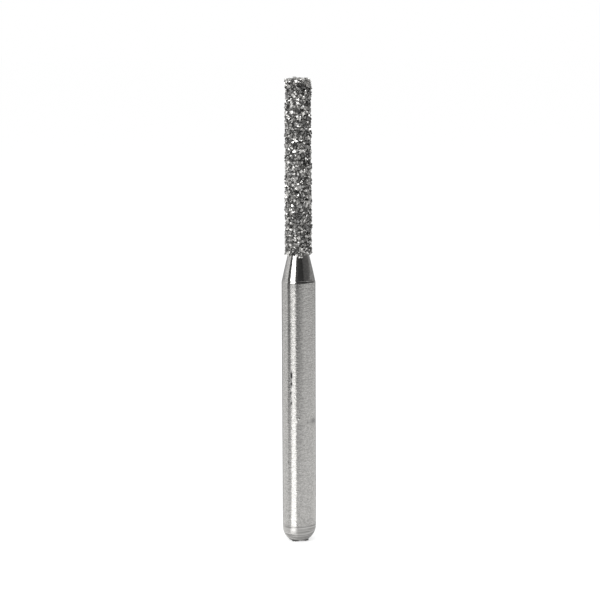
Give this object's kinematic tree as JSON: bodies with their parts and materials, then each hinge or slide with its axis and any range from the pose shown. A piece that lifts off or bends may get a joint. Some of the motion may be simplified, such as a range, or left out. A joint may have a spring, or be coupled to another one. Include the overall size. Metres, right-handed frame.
{
  "type": "dental bur",
  "caption": "Friction-grip dental bur: a long, flat-ended cylindrical head covered in coarse diamond grit, on a slim steel shank with a tapered neck and a rounded end.",
  "frame": {"origin": "centre of the small flat on the shank's end, on the bur's axis", "axes": "+Z along the bur's axis, from the shank's end to the flat working end"},
  "size_m": [0.0016, 0.0016, 0.0221],
  "materials": {
    "ground_steel": "satin centreless-ground shank with a polished neck",
    "diamond_grit": "coarse diamond crystals standing out of a nickel bond"
  },
  "bodies": {
    "root": {"steel_blank": "ground_steel", "diamond_coating": "diamond_grit"}
  },
  "joints": []
}
